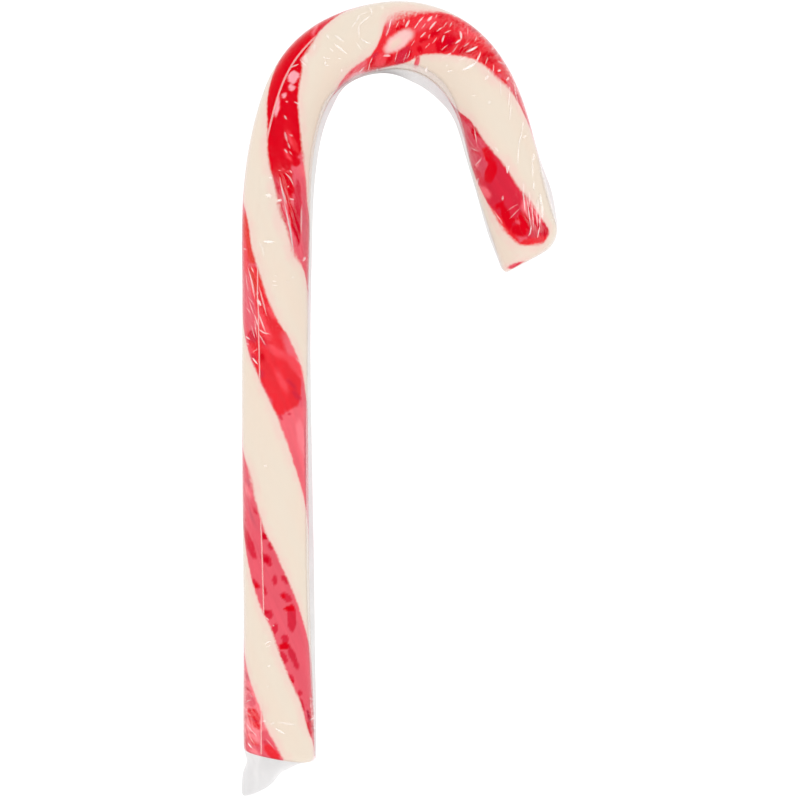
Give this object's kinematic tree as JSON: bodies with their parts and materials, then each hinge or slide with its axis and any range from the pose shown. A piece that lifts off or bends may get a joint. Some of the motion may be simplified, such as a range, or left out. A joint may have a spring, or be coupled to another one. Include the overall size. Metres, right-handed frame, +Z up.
{
  "type": "candy cane",
  "caption": "Red and white striped candy cane: a round sugar rod bent into an open hook at one end and closed in clear film with a short flat tail below its foot. It lies on its back.",
  "frame": {"origin": "on the table, under the middle of the whole object's bounding box", "axes": "+Y along the shaft from the foot to the top of the hook, +X towards the side the hook opens to, +Z up from the table to the side that is shown"},
  "size_m": [0.063, 0.159, 0.0139],
  "materials": {
    "cream_sugar": "hard pulled sugar, cream white, smooth with a soft gloss",
    "red_sugar": "hard red sugar, deep and wet-looking where the film clings, pinker where it stands off",
    "clear_film": "thin clear film, crinkled, with small bright creases"
  },
  "bodies": {
    "root": {"candy_white": "cream_sugar", "stripe_broad": "red_sugar", "stripe_narrow": "red_sugar", "film": "clear_film"}
  },
  "joints": []
}
